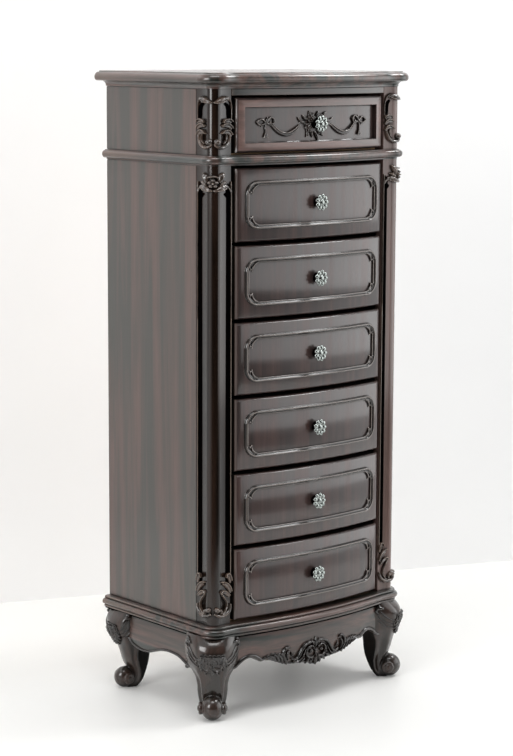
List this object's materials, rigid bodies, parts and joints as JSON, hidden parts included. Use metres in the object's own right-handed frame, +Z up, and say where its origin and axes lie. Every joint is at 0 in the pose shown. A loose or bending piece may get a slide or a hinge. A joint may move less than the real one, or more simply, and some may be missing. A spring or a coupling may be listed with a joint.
{
  "type": "semainier",
  "caption": "Tall narrow bow-fronted chest of drawers on carved cabriole legs, in dark stained wood, with column corners, applied mouldings and metal rosette knobs.",
  "frame": {"origin": "on the floor, under the middle of the chest's bounding box", "axes": "+Z up, +X to the chest's right seen from the front, -Y to the front, the way the drawers pull out"},
  "size_m": [0.5602, 0.4072, 1.32],
  "materials": {
    "dark_wood": "dark espresso stain under semi-gloss lacquer, near-black glaze in the recesses",
    "inner_wood": "plain unstained secondary wood",
    "knob_metal": "antiqued pewter with dark recesses"
  },
  "bodies": {
    "case": {"top_board": "dark_wood", "cornice_board": "dark_wood", "waist_board": "dark_wood", "base_board": "dark_wood", "lower_side_left": "dark_wood", "lower_side_right": "dark_wood", "lower_post_left": "dark_wood", "lower_post_right": "dark_wood", "upper_side_left": "dark_wood", "upper_side_right": "dark_wood", "upper_post_left": "dark_wood", "upper_post_right": "dark_wood", "back_panel": "inner_wood", "top_rail": "dark_wood", "divider_2": "inner_wood", "divider_3": "inner_wood", "divider_4": "inner_wood", "divider_5": "inner_wood", "divider_6": "inner_wood", "upper_ornament_left": "dark_wood", "upper_ornament_right": "dark_wood", "lower_ornament_left": "dark_wood", "lower_ornament_right": "dark_wood", "front_left_leg": "dark_wood", "front_right_leg": "dark_wood", "back_left_leg": "dark_wood", "back_right_leg": "dark_wood", "front_apron": "dark_wood", "side_apron_left": "dark_wood", "side_apron_right": "dark_wood", "back_apron": "dark_wood"},
    "drawer_1": {"drawer_1_front": "dark_wood", "drawer_1_box": "inner_wood", "drawer_1_knob": "knob_metal", "drawer_1_garland": "dark_wood"},
    "drawer_2": {"drawer_2_front": "dark_wood", "drawer_2_box": "inner_wood", "drawer_2_knob": "knob_metal", "drawer_2_moulding": "dark_wood"},
    "drawer_3": {"drawer_3_front": "dark_wood", "drawer_3_box": "inner_wood", "drawer_3_knob": "knob_metal", "drawer_3_moulding": "dark_wood"},
    "drawer_4": {"drawer_4_front": "dark_wood", "drawer_4_box": "inner_wood", "drawer_4_knob": "knob_metal", "drawer_4_moulding": "dark_wood"},
    "drawer_5": {"drawer_5_front": "dark_wood", "drawer_5_box": "inner_wood", "drawer_5_knob": "knob_metal", "drawer_5_moulding": "dark_wood"},
    "drawer_6": {"drawer_6_front": "dark_wood", "drawer_6_box": "inner_wood", "drawer_6_knob": "knob_metal", "drawer_6_moulding": "dark_wood"},
    "drawer_7": {"drawer_7_front": "dark_wood", "drawer_7_box": "inner_wood", "drawer_7_knob": "knob_metal", "drawer_7_moulding": "dark_wood"}
  },
  "joints": [
    {"name": "drawer_1_slide", "type": "slide", "parent": "case", "child": "drawer_1", "axis": [0, -1, 0], "range_m": [0, 0.24]},
    {"name": "drawer_2_slide", "type": "slide", "parent": "case", "child": "drawer_2", "axis": [0, -1, 0], "range_m": [0, 0.24]},
    {"name": "drawer_3_slide", "type": "slide", "parent": "case", "child": "drawer_3", "axis": [0, -1, 0], "range_m": [0, 0.24]},
    {"name": "drawer_4_slide", "type": "slide", "parent": "case", "child": "drawer_4", "axis": [0, -1, 0], "range_m": [0, 0.24]},
    {"name": "drawer_5_slide", "type": "slide", "parent": "case", "child": "drawer_5", "axis": [0, -1, 0], "range_m": [0, 0.24]},
    {"name": "drawer_6_slide", "type": "slide", "parent": "case", "child": "drawer_6", "axis": [0, -1, 0], "range_m": [0, 0.24]},
    {"name": "drawer_7_slide", "type": "slide", "parent": "case", "child": "drawer_7", "axis": [0, -1, 0], "range_m": [0, 0.24]}
  ]
}
